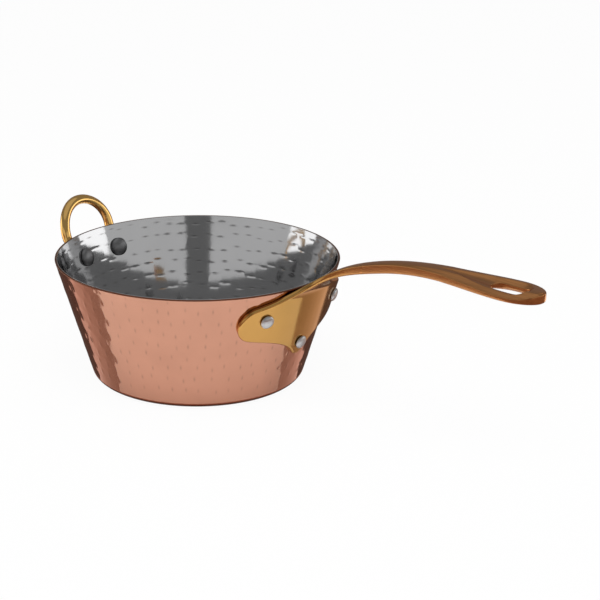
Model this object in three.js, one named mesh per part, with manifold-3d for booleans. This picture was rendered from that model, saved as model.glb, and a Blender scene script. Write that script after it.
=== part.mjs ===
// A small tapered copper saucepan with a steel lining, a cast brass long handle on three rivets
// and a brass finger loop on two rivets. Millimetres, +Z up, origin at the middle of the base.
// The long handle points along +X and the loop along -X.
import * as THREE from "three";
import { mergeVertices } from "three/addons/utils/BufferGeometryUtils.js";
import Module from "manifold-3d";

const wasm = await Module();
wasm.setup();

// Pot: a straight tapered wall on a flat base with a rounded corner
const rimRadius = 70;
const potHeight = 60.8;
const baseRadius = 51.6; // where the line of the wall meets the base plane
const cornerRadius = 5.7;
const copperThickness = 0.8;
const liningThickness = 0.4;
const bondGap = 0.05;

// Seats
const seatGap = 0.3; // between the wall and a piece that lies on it
const headGap = 0.3; // between a rivet's head and the face under it
const shankGap = 0.2; // round a rivet's shank in its hole

// Rivets
const shankRadius = 1.6;
const outerHeadRadius = 3.35;
const outerHeadHeight = 1.9;
const innerHeadRadius = 4.6;
const innerHeadHeight = 2.4;

// Long handle, plate: a three-lobed flange that follows the wall
const plateThickness = 2.2;
const plateDepth = 38.6; // from the rim down the wall to the low tip
const plateInnerRound = 0.3;
const plateOuterRound = 1.7;
const lowTipRadius = 4.2;
const lowSideTurn = 0.73 * Math.PI; // where the round low tip runs into its straight sides
const notchPull = 8;
const lowRivetMargin = 7.2; // from the low tip up to the low rivet
const sideRivetDepth = 13.6;
const sideRivetSpread = 25.5; // along the wall, from the middle to a side rivet
const lobeReach = 29.4; // along the wall, from the middle to the centre of a lobe's round end
const lobeRadius = 9.3;
const lobeDepth = 15.6;
const lobeTurn = 0.07 * Math.PI; // slope of the edges that run into a lobe's round end
const lobePull = 19;
const shoulderPull = 31;

// Long handle, stem: leaves the wall under the rim, rises to a crest and runs out level
const bendDepth = 4.5; // down the wall, where the stem starts to leave it
const bendPull = 10;
const crestReach = 74; // outward from the rim
const crestRise = 22.1; // above the rim
const crestPull = 45;
const tipReach = 123.5;
const tipDrop = 0.9;
const tailSag = 0.7;
const gripThickness = 5;
const gripInnerRound = 1.1;
const gripOuterRound = 1.4;
const thickenLength = 48;
const waistHalfWidth = 3.9;
const waistReach = 39; // along the stem, from the rim to its narrowest place
const waistPull = 30;
const gripPull = 45; // from the waist towards the eye
const eyeHalfWidth = 9.7;
const eyeLength = 15.6; // from the eye's widest place to the tip
const crownHeight = 0.6;
const flattenLength = 16; // over which the stem loses the wall's curve

// Hanging slot, the hollow that leads into it on top and the relief round it below
const slotHalfWidth = 4.2;
const slotLength = 19;
const slotTipMargin = 7.2; // metal left between the slot and the tip
const hollowHalfWidth = 7;
const hollowDepth = 1.75;
const hollowLength = 44;
const hollowPulls = [0.45, 0.6]; // shares of its length at which its sides curve
const hollowPoint = 0.35; // share of its width that its sides have at the first of these
const hollowMargin = 0.6; // past the slot's end
const reliefHalfWidth = 6.6;
const reliefDepth = 2.4;
const reliefMargin = 3; // past each end of the slot

// Finger loop: a round brass rod with flattened ends
const rodRadius = 2.4;
const loopRadius = 15.6;
const archRise = 0.4; // from the rim up to the centre of the loop's round top
const archLean = 0.09; // slope by which the loop's top leans out from the wall's line
const rodStandOff = 4.4; // from the wall's outside to the rod's middle, at the rim
const padRadius = 5;
const padThickness = 2;
const padSpread = 12.25; // along the wall, from the middle to a pad's centre
const padDepth = 12.2; // down the wall from the rim to a pad's centre
const padSquareness = 0.35; // power of the pads' flat section, where 1 is an ellipse
const legPulls = [0.6, 0.5]; // shares of the pad's depth at which a leg curves out
const roundLength = 7.5; // over which a flat end turns into the round rod
const endInset = 0.25; // by which the loop's line stops short of a pad's round end

// Fineness
const turnSegments = 72;
const cornerSteps = 4;
const rivetSegments = 16;
const domeSteps = 4;
const plateColumns = 10;
const rowSpacing = 5;
const rodSides = 12;
const loopSteps = 52;
const slotSteps = 8;
const hollowSides = 20;
const reliefSides = 24;
const outlineStop = 0.03 * Math.PI; // turn by which the handle's outline stops short of its two ends
const leastStep = 0.05; // between two rows of the handle
const straight = 1e-6; // a bend below this counts as none

const wallLean = Math.atan2(rimRadius - baseRadius, potHeight);
const wallThickness = copperThickness + bondGap + liningThickness;

const copper = new THREE.MeshStandardMaterial({ color: 0xd09070, roughness: 0.22, metalness: 1 });
const steel = new THREE.MeshStandardMaterial({ color: 0x9a9a9c, roughness: 0.18, metalness: 1 });
const brass = new THREE.MeshStandardMaterial({ color: 0xb88746, roughness: 0.2, metalness: 1 });
const rivetSteel = new THREE.MeshStandardMaterial({ color: 0xa9adb0, roughness: 0.3, metalness: 1 });

// Solids: a closed three.js geometry to a manifold solid and back

function solidOf(geometry) {
  const bare = new THREE.BufferGeometry().setAttribute("position", geometry.getAttribute("position"));
  if (geometry.index) bare.setIndex(geometry.index);
  const merged = mergeVertices(bare, 1e-4);
  const corners = merged.index.array;
  const faces = [];
  for (let i = 0; i < corners.length; i += 3) {
    const [a, b, c] = [corners[i], corners[i + 1], corners[i + 2]];
    if (a !== b && b !== c && a !== c) faces.push(a, b, c);
  }
  const vertProperties = merged.attributes.position.array;
  const triVerts = new Uint32Array(faces);
  return new wasm.Manifold(new wasm.Mesh({ numProp: 3, vertProperties, triVerts }));
}

function geometryOf(solid) {
  const mesh = solid.getMesh();
  return new THREE.BufferGeometry()
    .setAttribute("position", new THREE.BufferAttribute(mesh.vertProperties, 3))
    .setIndex(new THREE.BufferAttribute(mesh.triVerts, 1));
}

function cut(geometry, tools) {
  return geometryOf(tools.reduce((left, tool) => left.subtract(solidOf(tool)), solidOf(geometry)));
}

// A revolve about +Z of a profile of [radius, height] pairs that runs upward on its outside.
function revolve(profile, segments) {
  const points = profile.map(([radius, height]) => new THREE.Vector2(radius, height));
  return new THREE.LatheGeometry(points, segments).rotateX(Math.PI / 2);
}

// A loft through closed sections that all have the same number of points, with flat ends.
function loft(sections) {
  const count = sections[0].length;
  const positions = sections.flat().flatMap((point) => [point.x, point.y, point.z]);
  const index = [];
  for (let row = 0; row + 1 < sections.length; row += 1) {
    for (let i = 0; i < count; i += 1) {
      const a = row * count + i;
      const b = row * count + ((i + 1) % count);
      index.push(a, b + count, b, a, a + count, b + count);
    }
  }
  const last = (sections.length - 1) * count;
  for (let i = 1; i + 1 < count; i += 1) {
    index.push(0, i, i + 1, last, last + i + 1, last + i);
  }
  return new THREE.BufferGeometry()
    .setAttribute("position", new THREE.Float32BufferAttribute(positions, 3))
    .setIndex(index);
}

const smooth = (from, to, value) => THREE.MathUtils.smoothstep(value, from, to);
const lerp = THREE.MathUtils.lerp;

// The wall: a place is an angle round the pot, a rise along the wall from the rim and an offset outward

function wallPoint(angle, rise, offset) {
  const radius = rimRadius + rise * Math.sin(wallLean) + offset * Math.cos(wallLean);
  const height = potHeight + rise * Math.cos(wallLean) - offset * Math.sin(wallLean);
  return new THREE.Vector3(radius * Math.cos(angle), radius * Math.sin(angle), height);
}

const wallRadius = (rise) => rimRadius + rise * Math.sin(wallLean);

// A frame on the wall's outside: its X along the wall, its Z straight out of the wall.
function wallFrame(angle, rise) {
  const outward = wallPoint(angle, rise, 1).sub(wallPoint(angle, rise, 0));
  const along = new THREE.Vector3(-Math.sin(angle), Math.cos(angle), 0);
  const upward = new THREE.Vector3().crossVectors(outward, along);
  return new THREE.Matrix4().makeBasis(along, upward, outward).setPosition(wallPoint(angle, rise, 0));
}

// Where the five rivets go through the wall
const sideRivetAngle = sideRivetSpread / wallRadius(-sideRivetDepth);
const loopRivetAngle = padSpread / wallRadius(-padDepth);
const rivetPlaces = {
  handle_rivet_right: { angle: -sideRivetAngle, rise: -sideRivetDepth, seat: plateThickness },
  handle_rivet_left: { angle: sideRivetAngle, rise: -sideRivetDepth, seat: plateThickness },
  handle_rivet_low: { angle: 0, rise: lowRivetMargin - plateDepth, seat: plateThickness },
  loop_rivet_right: { angle: Math.PI + loopRivetAngle, rise: -padDepth, seat: padThickness },
  loop_rivet_left: { angle: Math.PI - loopRivetAngle, rise: -padDepth, seat: padThickness },
};

function rivetHole({ angle, rise, seat }) {
  const length = 4 * (seat + wallThickness); // well past both faces
  return new THREE.CylinderGeometry(shankRadius + shankGap, shankRadius + shankGap, length, rivetSegments)
    .rotateX(Math.PI / 2)
    .applyMatrix4(wallFrame(angle, rise));
}

const rivetHoles = Object.values(rivetPlaces).map(rivetHole);

// Pot: the line of the wall's section moved in by a depth, from the base's middle to the rim

function wallLine(depth) {
  const radius = Math.max(cornerRadius - depth, cornerRadius / 4);
  const centreHeight = depth + radius;
  const lineRadius = wallRadius((centreHeight - potHeight) / Math.cos(wallLean));
  const centre = lineRadius - centreHeight / Math.cos(wallLean);
  const points = [[0, depth]];
  for (let step = 0; step <= cornerSteps; step += 1) {
    const turn = lerp(-Math.PI / 2, -wallLean, step / cornerSteps);
    points.push([centre + radius * Math.cos(turn), centreHeight + radius * Math.sin(turn)]);
  }
  points.push([rimRadius - depth / Math.cos(wallLean), potHeight]);
  return points;
}

// One layer of the pot between two depths in its wall.
function potLayer(outerDepth, innerDepth) {
  const profile = [...wallLine(outerDepth), ...wallLine(innerDepth).reverse()];
  return cut(revolve(profile, turnSegments), rivetHoles);
}

// Rivet: domed heads on both sides of a shank, along its own Z, with the wall's outside at Z = 0

function dome(radius, height, seat, side) {
  const points = [];
  for (let step = 0; step <= domeSteps; step += 1) {
    const turn = (step / domeSteps) * (Math.PI / 2);
    points.push([radius * Math.cos(turn), seat + side * height * Math.sin(turn)]);
  }
  points[domeSteps][0] = 0;
  return points;
}

function rivet({ seat }) {
  const innerSeat = -wallThickness - headGap;
  const outerSeat = seatGap + seat + headGap;
  const profile = [
    ...dome(innerHeadRadius, innerHeadHeight, innerSeat, -1).reverse(),
    [shankRadius, innerSeat],
    [shankRadius, outerSeat],
    ...dome(outerHeadRadius, outerHeadHeight, outerSeat, 1),
  ];
  return revolve(profile, rivetSegments);
}

// Long handle: its inner face follows a line up the wall, over the rim and out to the tip

const flangeLow = wallPoint(0, -plateDepth, seatGap);
const bendStart = wallPoint(0, -bendDepth, seatGap);
const flat = (point) => new THREE.Vector2(point.x, point.z);
const upTheWall = new THREE.Vector2(Math.sin(wallLean), Math.cos(wallLean));
const crest = new THREE.Vector2(rimRadius + crestReach, potHeight + crestRise);
const tip = new THREE.Vector2(rimRadius + tipReach, crest.y - tipDrop);
const tailMiddle = new THREE.Vector2((crest.x + tip.x) / 2, crest.y - tailSag);

const handleLine = new THREE.CurvePath();
handleLine.add(new THREE.LineCurve(flat(flangeLow), flat(bendStart)));
handleLine.add(
  new THREE.CubicBezierCurve(
    flat(bendStart),
    flat(bendStart).addScaledVector(upTheWall, bendPull),
    new THREE.Vector2(crest.x - crestPull, crest.y),
    crest,
  ),
);
handleLine.add(new THREE.QuadraticBezierCurve(crest, tailMiddle, tip));
const handleLength = handleLine.getLength();
const bendDistance = plateDepth - bendDepth;

// Outline of the handle laid flat: distance along the line from the low tip, and half width.
function handleOutline() {
  const lobeDistance = plateDepth - lobeDepth;
  const waistDistance = plateDepth + waistReach;
  const eyeDistance = handleLength - eyeLength;
  const outline = new THREE.Path();
  outline.absarc(lowTipRadius, 0, lowTipRadius, Math.PI - outlineStop, lowSideTurn, true);
  const lowSide = outline.currentPoint.clone();
  const lobeStart = new THREE.Vector2(
    lobeDistance - lobeRadius * Math.cos(lobeTurn),
    lobeReach + lobeRadius * Math.sin(lobeTurn),
  );
  outline.bezierCurveTo(
    lowSide.x + notchPull * Math.sin(lowSideTurn),
    lowSide.y - notchPull * Math.cos(lowSideTurn),
    lobeStart.x - lobePull * Math.sin(lobeTurn),
    lobeStart.y - lobePull * Math.cos(lobeTurn),
    lobeStart.x,
    lobeStart.y,
  );
  outline.absarc(lobeDistance, lobeReach, lobeRadius, Math.PI - lobeTurn, lobeTurn, true);
  const lobeEnd = outline.currentPoint.clone();
  outline.bezierCurveTo(
    lobeEnd.x + shoulderPull * Math.sin(lobeTurn),
    lobeEnd.y - shoulderPull * Math.cos(lobeTurn),
    waistDistance - waistPull,
    waistHalfWidth,
    waistDistance,
    waistHalfWidth,
  );
  outline.bezierCurveTo(
    waistDistance + gripPull,
    waistHalfWidth,
    eyeDistance - eyeLength,
    eyeHalfWidth,
    eyeDistance,
    eyeHalfWidth,
  );
  outline.absellipse(eyeDistance, 0, eyeLength, eyeHalfWidth, Math.PI / 2, outlineStop, true);
  return outline;
}

// A place in the handle: along its line, across its face and in from its inner face.
function handlePlace(distance, across, depth) {
  const share = THREE.MathUtils.clamp(distance / handleLength, 0, 1);
  const foot = handleLine.getPointAt(share);
  const tangent = handleLine.getTangentAt(share);
  const x = foot.x + depth * tangent.y;
  const z = foot.y - depth * tangent.x;
  const bend = (1 - smooth(bendDistance, bendDistance + flattenLength, distance)) / foot.x;
  if (bend < straight) return new THREE.Vector3(x, across, z);
  const reach = 1 / bend + depth * tangent.y;
  const turn = across * bend;
  return new THREE.Vector3(x - reach * (1 - Math.cos(turn)), reach * Math.sin(turn), z);
}

// One closed section of the handle at a point of its outline, with its edges rounded square to the outline.
function handleSection({ point, normal }) {
  const stem = smooth(bendDistance, bendDistance + thickenLength, point.x);
  const thickness = lerp(plateThickness, gripThickness, stem);
  const crown = crownHeight * stem;
  const innerRound = lerp(plateInnerRound, gripInnerRound, stem);
  const outerRound = lerp(plateOuterRound, gripOuterRound, stem);
  const corner = 1 - Math.SQRT1_2;
  const at = (side, inset, depth) =>
    handlePlace(point.x - inset * normal.x, side * (point.y - inset * normal.y), depth);
  const sides = Array.from({ length: plateColumns + 1 }, (_, i) => (2 * i) / plateColumns - 1);
  const inner = sides.map((side) => at(side, innerRound, crown * side * side));
  const outer = sides.map((side) => at(-side, outerRound, thickness));
  const edge = (side) => [
    at(side, corner * innerRound, crown + corner * innerRound),
    at(side, 0, crown + innerRound),
    at(side, 0, thickness - outerRound),
    at(side, corner * outerRound, thickness - corner * outerRound),
  ];
  return [...inner, ...edge(1), ...outer, ...edge(-1).reverse()];
}

// Points along an outline that always go forward, each with the direction out of the outline.
function outlineRows(outline, spacing) {
  const rows = [];
  for (const curve of outline.curves) {
    const steps = 2 + Math.ceil(curve.getLength() / spacing);
    for (let step = 0; step <= steps; step += 1) {
      const point = curve.getPointAt(step / steps);
      const tangent = curve.getTangentAt(step / steps);
      const normal = new THREE.Vector2(-tangent.y, tangent.x);
      if (!rows.length || point.x > rows.at(-1).point.x + leastStep) rows.push({ point, normal });
    }
  }
  return rows;
}

function longHandle() {
  const blank = loft(outlineRows(handleOutline(), rowSpacing).map(handleSection));
  return cut(blank, [...rivetHoles, hangingSlot(), slotHollow(), slotRelief()]);
}

const slotEnd = tip.x - slotTipMargin;
const slotMiddle = slotEnd - slotLength / 2;

// The through slot: a straight rounded hole in the eye.
function hangingSlot() {
  const depth = 6 * gripThickness; // well past both faces
  const half = slotLength / 2 - slotHalfWidth;
  const shape = new THREE.Shape();
  shape.absarc(half, 0, slotHalfWidth, -Math.PI / 2, Math.PI / 2, false);
  shape.absarc(-half, 0, slotHalfWidth, Math.PI / 2, 1.5 * Math.PI, false);
  return new THREE.ExtrudeGeometry(shape, { depth, bevelEnabled: false, curveSegments: slotSteps })
    .translate(slotMiddle, 0, crest.y - depth / 2);
}

// The hollow: a long teardrop turned about the stem's line, sunk in its top and deepest at the slot.
function slotHollow() {
  const noseLength = hollowHalfWidth;
  const profile = new THREE.Path();
  profile.bezierCurveTo(
    hollowPoint * hollowHalfWidth,
    hollowPulls[0] * hollowLength,
    hollowHalfWidth,
    hollowPulls[1] * hollowLength,
    hollowHalfWidth,
    hollowLength,
  );
  profile.absellipse(0, hollowLength, hollowHalfWidth, noseLength, 0, Math.PI / 2, false);
  const points = profile.getPoints(slotSteps);
  points.at(-1).x = 0;
  return new THREE.LatheGeometry(points, hollowSides)
    .rotateZ(-Math.PI / 2)
    .scale(1, 1, hollowDepth / hollowHalfWidth)
    .translate(slotEnd + hollowMargin - hollowLength - noseLength, 0, tip.y);
}

// The relief: a shallow oval dish in the underside round the slot.
function slotRelief() {
  return new THREE.SphereGeometry(1, reliefSides, (2 * reliefSides) / 3)
    .scale(slotLength / 2 + reliefMargin, reliefHalfWidth, reliefDepth)
    .translate(slotMiddle, 0, tip.y - gripThickness);
}

// Finger loop: a rod that stands up beside the rim, with round flat pads at its ends that follow the wall

// A place in the loop: along the wall from the loop's middle, up from the rim and out from the wall.
function loopPlace(along, rise, offset) {
  const out = offset + (archLean * Math.max(rise, 0) ** 2) / loopRadius;
  const radius = wallRadius(rise) + out * Math.cos(wallLean);
  const height = potHeight + rise * Math.cos(wallLean) - out * Math.sin(wallLean);
  const bend = (1 - smooth(padRadius - padDepth, 0, rise)) / wallRadius(rise);
  if (bend < straight) return new THREE.Vector3(-radius, -along, height);
  const reach = 1 / bend + out * Math.cos(wallLean);
  const turn = along * bend;
  return new THREE.Vector3(reach * (1 - Math.cos(turn)) - radius, -reach * Math.sin(turn), height);
}

function loopLine() {
  const [lowPull, highPull] = legPulls.map((share) => -share * padDepth);
  const line = new THREE.Path();
  line.moveTo(padSpread, -padDepth - padRadius);
  line.lineTo(padSpread, -padDepth);
  line.bezierCurveTo(padSpread, lowPull, loopRadius, highPull, loopRadius, archRise);
  line.absarc(0, archRise, loopRadius, 0, Math.PI, false);
  line.bezierCurveTo(-loopRadius, highPull, -padSpread, lowPull, -padSpread, -padDepth);
  line.lineTo(-padSpread, -padDepth - padRadius);
  return line;
}

function fingerLoop() {
  const line = loopLine();
  const length = line.getLength();
  const thickenStart = padRadius + outerHeadRadius + headGap;
  const sections = [];
  for (let step = 0; step <= loopSteps; step += 1) {
    const fromEnd = lerp(endInset, length / 2, 1 - Math.abs(1 - (2 * step) / loopSteps));
    const distance = step <= loopSteps / 2 ? fromEnd : length - fromEnd;
    const middle = line.getPointAt(distance / length);
    const tangent = line.getTangentAt(distance / length);
    const inPad = Math.abs(fromEnd - padRadius) < padRadius;
    const padWidth = inPad ? Math.sqrt(padRadius ** 2 - (fromEnd - padRadius) ** 2) : 0;
    const rod = smooth(thickenStart, thickenStart + roundLength, fromEnd);
    const halfWidth = fromEnd < padRadius ? padWidth : Math.max(padWidth, rodRadius);
    const halfDepth = lerp(padThickness / 2, rodRadius, rod);
    const standOff = lerp(seatGap + padThickness / 2, rodStandOff, rod);
    const squareness = lerp(padSquareness, 1, rod);
    const section = [];
    for (let i = 0; i < rodSides; i += 1) {
      const turn = ((i + 0.5) / rodSides) * 2 * Math.PI;
      const across = halfWidth * Math.sign(Math.cos(turn)) * Math.abs(Math.cos(turn)) ** squareness;
      const out = halfDepth * Math.sign(Math.sin(turn)) * Math.abs(Math.sin(turn)) ** squareness;
      section.push(loopPlace(middle.x + across * tangent.y, middle.y - across * tangent.x, standOff + out));
    }
    sections.push(section);
  }
  return cut(loft(sections), rivetHoles);
}

// Assembly

const pot = new THREE.Group();

function addPiece(name, geometry, material) {
  const mesh = new THREE.Mesh(geometry, material);
  mesh.name = name;
  pot.add(mesh);
  return mesh;
}

addPiece("copper_body", potLayer(0, copperThickness), copper);
addPiece("steel_lining", potLayer(copperThickness + bondGap, wallThickness), steel);
addPiece("long_handle", longHandle(), brass);
addPiece("loop_handle", fingerLoop(), brass);
for (const [name, place] of Object.entries(rivetPlaces)) {
  addPiece(name, rivet(place), rivetSteel).applyMatrix4(wallFrame(place.angle, place.rise));
}

export default pot;
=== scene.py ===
"""The looks of a small hammered copper saucepan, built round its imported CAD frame.

Shapes are worked out in millimetres in the frame's own axes and scaled to metres when a mesh is made:
+X runs out along the long handle, +Z is up, and the origin is the middle of the base.
"""

import math

import bpy
import numpy as np
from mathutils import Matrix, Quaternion, Vector


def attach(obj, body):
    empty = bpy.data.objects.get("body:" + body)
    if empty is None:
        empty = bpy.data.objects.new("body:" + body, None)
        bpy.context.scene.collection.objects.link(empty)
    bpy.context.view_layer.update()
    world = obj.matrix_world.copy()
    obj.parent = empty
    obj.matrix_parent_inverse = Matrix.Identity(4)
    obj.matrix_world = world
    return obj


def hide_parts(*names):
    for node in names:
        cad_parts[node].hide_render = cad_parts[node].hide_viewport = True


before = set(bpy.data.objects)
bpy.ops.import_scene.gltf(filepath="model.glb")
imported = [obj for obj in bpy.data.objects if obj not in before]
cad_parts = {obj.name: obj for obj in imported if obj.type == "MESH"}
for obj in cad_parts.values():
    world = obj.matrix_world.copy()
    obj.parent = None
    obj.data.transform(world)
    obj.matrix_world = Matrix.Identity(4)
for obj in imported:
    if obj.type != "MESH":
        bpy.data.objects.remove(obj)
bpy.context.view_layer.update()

MM = 0.001
TINY = 1e-6  # keeps divisions and comparisons away from zero
FULL_TURN = 2 * math.pi
SHARP_ANGLE = math.radians(50)  # edges bent by more than this are shaded sharp

# Pot
RIM_RADIUS = 70.0
POT_HEIGHT = 60.8
BASE_RADIUS = 51.6
CORNER_RADIUS = 5.7
COPPER_THICKNESS = 0.8
LINING_THICKNESS = 0.4
BOND_GAP = 0.05
RIM_LINE = 0.6  # height of the copper's rougher edge at the rim, whose dark colour is painted shade
WALL_LEAN = math.atan2(RIM_RADIUS - BASE_RADIUS, POT_HEIGHT)
WALL_THICKNESS = COPPER_THICKNESS + BOND_GAP + LINING_THICKNESS
WALL_LENGTH = POT_HEIGHT / math.cos(WALL_LEAN)
FLOOR_STEPS = 9
CORNER_STEPS = 13
RIM_STEPS = 9
BODY_ROWS = (220, 6)  # up the wall's outside and inside, many where the layer is seen
BODY_AROUND = 1800
LINING_ROWS = (6, 320)
LINING_AROUND = 1100

# Hammer marks: shallow round dents in rows round the wall. Each has a small ridge with a dark tick on it,
# beside the dent on the outside and above it on the inside; the tick is painted shade for the ridge's dark
# reflections. Sizes are half lengths and half heights.
MARK_ROW = 6.6
MARK_PITCH = 7.0
MARK_JITTER = 1.3
MARK_SEED = 11
MARK_COLUMNS = 80  # random values drawn for a row, more than any row has marks
SPARE_ROWS = 3
WEAKEST_MARK = 0.55
MARK_SPREAD = 4.0  # unevenness of the dents' sizes, in square millimetres
RIDGE_SOFTNESS = 0.6  # how softly neighbouring dents run together, in square millimetres
LEAST_TOTAL = 1e-12
DENT_REACH = 0.58 * MARK_PITCH
RIM_FADE = (-0.5, -3.0)  # rise over which the marks begin below the rim
FOOT_FADE = (4.0, 12.0)  # length up the wall over which they begin above the foot
OUTER_MARKS = {
    "depth": 0.05,
    "beside": (0.5, 0.0),
    "ridge": 0.11,
    "ridge_size": (1.1, 2.0),
    "tick_size": (0.4, 1.1),
}
INNER_MARKS = {
    "depth": 0.028,
    "beside": (0.0, 0.5),
    "ridge": 0.04,
    "ridge_size": (2.2, 0.6),
    "tick_size": (1.4, 0.32),
}

# Seats and rivets
SEAT_GAP = 0.3
HEAD_GAP = 0.3
SHANK_RADIUS = 1.6
OUTER_HEAD = (3.35, 1.9)  # radius and height
INNER_HEAD = (4.6, 2.4)
BRIM_SHARE = 0.22  # of a head's height that stands upright
BRIM_INSET = 0.15
BRIM_LIFT = 0.12
DOME_STEPS = 13
RIVET_SIDES = 48

# Long handle
PLATE_THICKNESS = 2.2
PLATE_DEPTH = 38.6
PLATE_ROUNDS = (0.3, 1.2)  # edge radii of the inner face and of the outer face
LOW_TIP_RADIUS = 4.2
LOW_START_TURN = 0.985 * math.pi  # just short of the middle line, so that the first row has a width
LOW_SIDE_TURN = 0.73 * math.pi
NOTCH_PULL = 8.0
LOW_RIVET_MARGIN = 7.2
LOW_RIVET_DEPTH = PLATE_DEPTH - LOW_RIVET_MARGIN
SIDE_RIVET_DEPTH = 13.6
SIDE_RIVET_SPREAD = 25.5
LOBE_REACH = 29.4
LOBE_RADIUS = 9.3
LOBE_DEPTH = 15.6
LOBE_TURN = 0.07 * math.pi
LOBE_PULL = 19.0
SHOULDER_PULL = 31.0
BEND_DEPTH = 4.5
BEND_PULL = 10.0
CREST_REACH = 74.0  # of the handle's highest point, out from the rim
CREST_RISE = 22.1
CREST = (RIM_RADIUS + CREST_REACH, POT_HEIGHT + CREST_RISE)
CREST_PULL = 45.0
TIP_REACH = 123.5  # of the handle's end, out from the rim
TIP_DROP = 0.9
TIP = (RIM_RADIUS + TIP_REACH, CREST[1] - TIP_DROP)
TAIL_SAG = 0.7
GRIP_THICKNESS = 5.0
GRIP_ROUNDS = (0.8, 1.2)
THICKEN_LENGTH = 48.0
WAIST_HALF_WIDTH = 3.9
WAIST_REACH = 39.0
WAIST_PULL = 30.0
GRIP_PULL = 45.0
EYE_HALF_WIDTH = 9.7
EYE_LENGTH = 15.6
EYE_END_TURN = 0.012 * math.pi  # just short of the middle line, as at the low tip
CROWN_HEIGHT = 0.4
BEVEL_START = 3.2
BEVEL_SLOPES = (0.0, 0.36)  # of the top on its +Y side, and on its -Y side, which the camera sees
FLATTEN_LENGTH = 16.0
SLOT_HALF_WIDTH = 4.2
SLOT_LENGTH = 19.0
SLOT_TIP_MARGIN = 7.2
SLOT_ROUND = 0.5
SLOT_EDGE_PLACES = SLOT_ROUND * np.array([0, 0.05, 0.18, 0.38, 0.65, 1.0])
SLOT_EDGE_SHARE = 0.5  # of a face's width, at most, for the slot's rounded edge
HOLLOW_HALF_WIDTH = 7.0
HOLLOW_LEAST_WIDTH = 1e-3
HOLLOW_DEPTH = 2.4
HOLLOW_LENGTH = 44.0
HOLLOW_MARGIN = 0.6
HOLLOW_SWELL_POWER = 0.75
HOLLOW_DISH_POWER = 0.8
RELIEF_HALF_WIDTH = 6.6
RELIEF_DEPTH = 2.2
RELIEF_MARGIN = 3.0
RELIEF_POWER = 0.7
LINE_STEPS = {"flange": 200, "stem": 900, "tail": 400}
OUTLINE_STEPS = {"low": 40, "notch": 120, "lobe": 80, "shoulder": 200, "grip": 200, "end": 120}
ROW_STEP = 0.8
LEAST_ROW_STEP = 0.02
ROW_DIGITS = 4
SLOT_END_ROWS = 12
FACE_STEPS = 27
EDGE_STEPS = 8

# Finger loop
ROD_RADIUS = 2.4
LOOP_RADIUS = 15.6
ROD_STAND_OFF = 4.4
ARCH_RISE = 0.4
ARCH_LEAN = 0.09
PAD_RADIUS = 5.0
PAD_THICKNESS = 2.0
PAD_SPREAD = 12.25
PAD_DEPTH = 12.2
PAD_SQUARENESS = 0.35  # power of the pad's section: 1 is round, and less is squarer
LEG_PULLS = (0.6, 0.5)  # where a leg's curve is pulled to, as shares of the pad's depth
ROUND_LENGTH = 1.5 * PAD_RADIUS  # over which a flat end turns into the round rod
NECK_LENGTH = 0.1
NECK_POWER = 6  # how closely the pad's outline runs into the rod's
LOOP_STEPS = {"foot": 60, "leg": 120, "arch": 300}
PAD_END_TURN = 0.15
PAD_END_ROWS = 24
ROD_ROWS = 110
LOOP_SIDES = 36

# Metals: each noise is a scale in cycles per metre and a detail
DRIFT_NOISE = (45.0, 5.0)
DRIFT_RAMP = (0.3, 0.7)
GLOSS_NOISE = (160.0, 6.0)
GLOSS_SHARES = (0.75, 1.3)
SCRATCH_NOISE = (900.0, 3.0)
SCRATCH_DEPTH = 0.1 * MM
# colour of the hammer marks' ticks, painted shade for the ridges' dark reflections
SHADE_TICK_COLOUR = (0.05, 0.035, 0.03)
DULL_START = RIM_RADIUS + 4.0
DULL_END = RIM_RADIUS + 32.0
STREAK_STRETCH = (40, 1500, 1500)  # cycles per metre along the handle, across it and up
STREAK_NOISE = (1.0, 4.0)
STREAK_RAMP = (0.35, 0.65)
STREAK_SHARES = (0.88, 1.1)

# Camera, fitted to the photograph's rim and base
CAMERA_PLACE = (0.54396, -0.63915, 0.32346)
CAMERA_AIM = (0.04353, 0.02600, 0.03966)
CAMERA_ROLL = math.radians(0.736)
CAMERA_LENS = 107.17
SENSOR_WIDTH = 36.0
HEADING = math.atan2(CAMERA_PLACE[1], CAMERA_PLACE[0])

# Studio, in metres
WHITE = (1, 1, 1, 1)
FLOOR_REACH = 6.0
FLOOR_COLOUR = (0.82, 0.82, 0.82, 1.0)
FLOOR_ROUGHNESS = 0.9
FLOOR_SPECULAR = 0.1
FLOOR_WHITENESS = 0.95  # share of plain white that the camera sees on the floor
SOFT_STRENGTH = 0.55
LAMP_PLACE = (0.35, -0.45, 1.3)
LAMP_SIZE = (1.2, 0.9)
LAMP_POWER = 14.0
SIDES = ((1, "left"), (-1, "right"))  # as the camera sees them
CARD_STEPS = 25
RING_STEPS = 73


# Small helpers

def smooth(low, high, value):
    share = np.clip((value - low) / (high - low), 0, 1)
    return share * share * (3 - 2 * share)


def mix(low, high, share):
    return low + (high - low) * share


def bezier(points, count):
    """Points of a cubic curve, its ends among them."""
    t = np.linspace(0, 1, count)[:, None]
    a, b, c, d = (np.array(point, float) for point in points)
    return a * (1 - t) ** 3 + 3 * b * t * (1 - t) ** 2 + 3 * c * t ** 2 * (1 - t) + d * t ** 3


def bow(start, middle, end, count):
    """Points of a curve that leaves its start and meets its end along lines through a middle point."""
    return bezier((start, mix(start, middle, 2 / 3), mix(end, middle, 2 / 3), end), count)


def arc(centre, radii, start, end, count):
    turn = np.linspace(start, end, count)
    return np.stack([centre[0] + radii[0] * np.cos(turn), centre[1] + radii[1] * np.sin(turn)], axis=1)


def chain(*pieces):
    """One line from several that meet end to end."""
    return np.concatenate([pieces[0], *(piece[1:] for piece in pieces[1:])])


def lengths(points):
    steps = np.linalg.norm(np.diff(points, axis=0), axis=1)
    return np.concatenate([[0.0], np.cumsum(steps)])


def sample(places, run, pairs):
    """Pairs of values at some places along a line whose lengths are given for its own pairs."""
    return np.stack([np.interp(places, run, pairs[:, axis]) for axis in (0, 1)], axis=1)


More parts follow.
